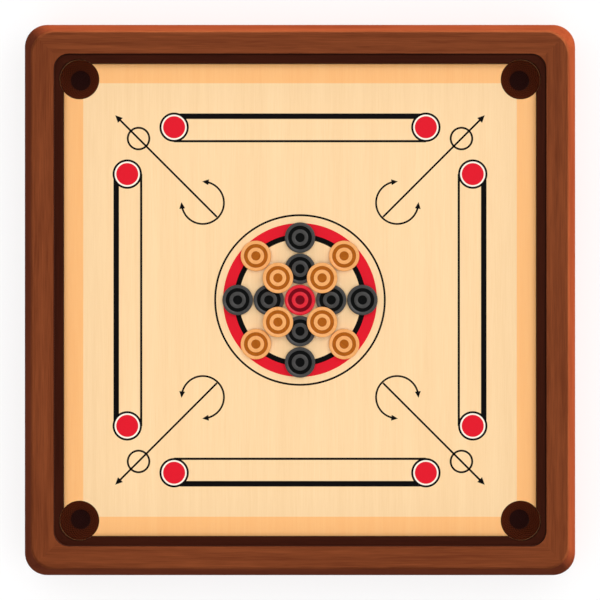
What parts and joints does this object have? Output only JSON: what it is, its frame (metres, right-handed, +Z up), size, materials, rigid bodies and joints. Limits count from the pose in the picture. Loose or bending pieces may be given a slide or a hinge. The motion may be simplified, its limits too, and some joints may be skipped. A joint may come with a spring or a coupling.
{
  "type": "carrom board",
  "caption": "Square wooden carrom board with bevelled rails, four netted corner pockets, printed markings, and turned coins and queen set out at the centre.",
  "frame": {"origin": "on the ground under the middle of the board, at the underside of its feet", "axes": "+Z up out of the playing surface; +X and +Y along the rails, +X towards rail_right and +Y towards rail_back"},
  "size_m": [0.559, 0.559, 0.054],
  "materials": {
    "stained_hardwood": "satin lacquer",
    "dark_hardwood": "satin lacquer",
    "birch_plywood": "polished lacquer",
    "key_plywood": "sawn",
    "net_cotton": "knotted cord",
    "tack_brass": "bright",
    "pine": "planed",
    "screw_steel": "zinc plated",
    "foot_rubber": "matt",
    "red_coin_wood": "polished lacquer",
    "black_coin_wood": "polished lacquer",
    "tan_coin_wood": "polished lacquer"
  },
  "bodies": {
    "root": {"rail_right": "stained_hardwood", "rail_back": "stained_hardwood", "rail_left": "stained_hardwood", "rail_front": "stained_hardwood", "cushion_right": "dark_hardwood", "cushion_back": "dark_hardwood", "cushion_left": "dark_hardwood", "cushion_front": "dark_hardwood", "playing_panel": "birch_plywood", "corner_key_back_right": "key_plywood", "corner_key_back_left": "key_plywood", "corner_key_front_left": "key_plywood", "corner_key_front_right": "key_plywood", "pocket_net_back_right": "net_cotton", "pocket_net_back_left": "net_cotton", "pocket_net_front_left": "net_cotton", "pocket_net_front_right": "net_cotton", "net_tacks": "tack_brass", "batten_across": "pine", "batten_along": "pine", "batten_screws": "screw_steel", "foot_back_right": "foot_rubber", "foot_back_left": "foot_rubber", "foot_front_left": "foot_rubber", "foot_front_right": "foot_rubber", "foot_screws": "screw_steel"},
    "black_outer_right": {"black_outer_right": "black_coin_wood"},
    "black_outer_back": {"black_outer_back": "black_coin_wood"},
    "black_outer_left": {"black_outer_left": "black_coin_wood"},
    "black_outer_front": {"black_outer_front": "black_coin_wood"},
    "black_inner_right": {"black_inner_right": "black_coin_wood"},
    "black_inner_back": {"black_inner_back": "black_coin_wood"},
    "black_inner_left": {"black_inner_left": "black_coin_wood"},
    "black_inner_front": {"black_inner_front": "black_coin_wood"},
    "tan_outer_back_right": {"tan_outer_back_right": "tan_coin_wood"},
    "tan_outer_back_left": {"tan_outer_back_left": "tan_coin_wood"},
    "tan_outer_front_left": {"tan_outer_front_left": "tan_coin_wood"},
    "tan_outer_front_right": {"tan_outer_front_right": "tan_coin_wood"},
    "tan_inner_back_right": {"tan_inner_back_right": "tan_coin_wood"},
    "tan_inner_back_left": {"tan_inner_back_left": "tan_coin_wood"},
    "tan_inner_front_left": {"tan_inner_front_left": "tan_coin_wood"},
    "tan_inner_front_right": {"tan_inner_front_right": "tan_coin_wood"},
    "queen": {"queen": "red_coin_wood"}
  },
  "joints": [
    {"name": "black_outer_right_glide", "type": "slide", "parent": "root", "child": "black_outer_right", "axis": [1, 0, 0], "range_m": [0, 0.1608]},
    {"name": "black_outer_back_glide", "type": "slide", "parent": "root", "child": "black_outer_back", "axis": [0, 1, 0], "range_m": [0, 0.1608]},
    {"name": "black_outer_left_glide", "type": "slide", "parent": "root", "child": "black_outer_left", "axis": [-1, 0, 0], "range_m": [0, 0.1608]},
    {"name": "black_outer_front_glide", "type": "slide", "parent": "root", "child": "black_outer_front", "axis": [0, -1, 0], "range_m": [0, 0.1608]},
    {"name": "black_inner_right_glide", "type": "slide", "parent": "root", "child": "black_inner_right", "axis": [0, 1, 0], "range_m": [0, 0.013]},
    {"name": "black_inner_back_glide", "type": "slide", "parent": "root", "child": "black_inner_back", "axis": [-1, 0, 0], "range_m": [0, 0.013]},
    {"name": "black_inner_left_glide", "type": "slide", "parent": "root", "child": "black_inner_left", "axis": [0, -1, 0], "range_m": [0, 0.013]},
    {"name": "black_inner_front_glide", "type": "slide", "parent": "root", "child": "black_inner_front", "axis": [1, 0, 0], "range_m": [0, 0.013]},
    {"name": "tan_outer_back_right_glide", "type": "slide", "parent": "root", "child": "tan_outer_back_right", "axis": [0.7071, 0.7071, 0], "range_m": [0, 0.2335]},
    {"name": "tan_outer_back_left_glide", "type": "slide", "parent": "root", "child": "tan_outer_back_left", "axis": [-0.7071, 0.7071, 0], "range_m": [0, 0.2335]},
    {"name": "tan_outer_front_left_glide", "type": "slide", "parent": "root", "child": "tan_outer_front_left", "axis": [-0.7071, -0.7071, 0], "range_m": [0, 0.2335]},
    {"name": "tan_outer_front_right_glide", "type": "slide", "parent": "root", "child": "tan_outer_front_right", "axis": [0.7071, -0.7071, 0], "range_m": [0, 0.2335]},
    {"name": "tan_inner_back_right_lift", "type": "slide", "parent": "root", "child": "tan_inner_back_right", "axis": [0, 0, 1], "range_m": [0, 0.04]},
    {"name": "tan_inner_back_left_lift", "type": "slide", "parent": "root", "child": "tan_inner_back_left", "axis": [0, 0, 1], "range_m": [0, 0.04]},
    {"name": "tan_inner_front_left_lift", "type": "slide", "parent": "root", "child": "tan_inner_front_left", "axis": [0, 0, 1], "range_m": [0, 0.04]},
    {"name": "tan_inner_front_right_lift", "type": "slide", "parent": "root", "child": "tan_inner_front_right", "axis": [0, 0, 1], "range_m": [0, 0.04]},
    {"name": "queen_lift", "type": "slide", "parent": "root", "child": "queen", "axis": [0, 0, 1], "range_m": [0, 0.04]}
  ]
}
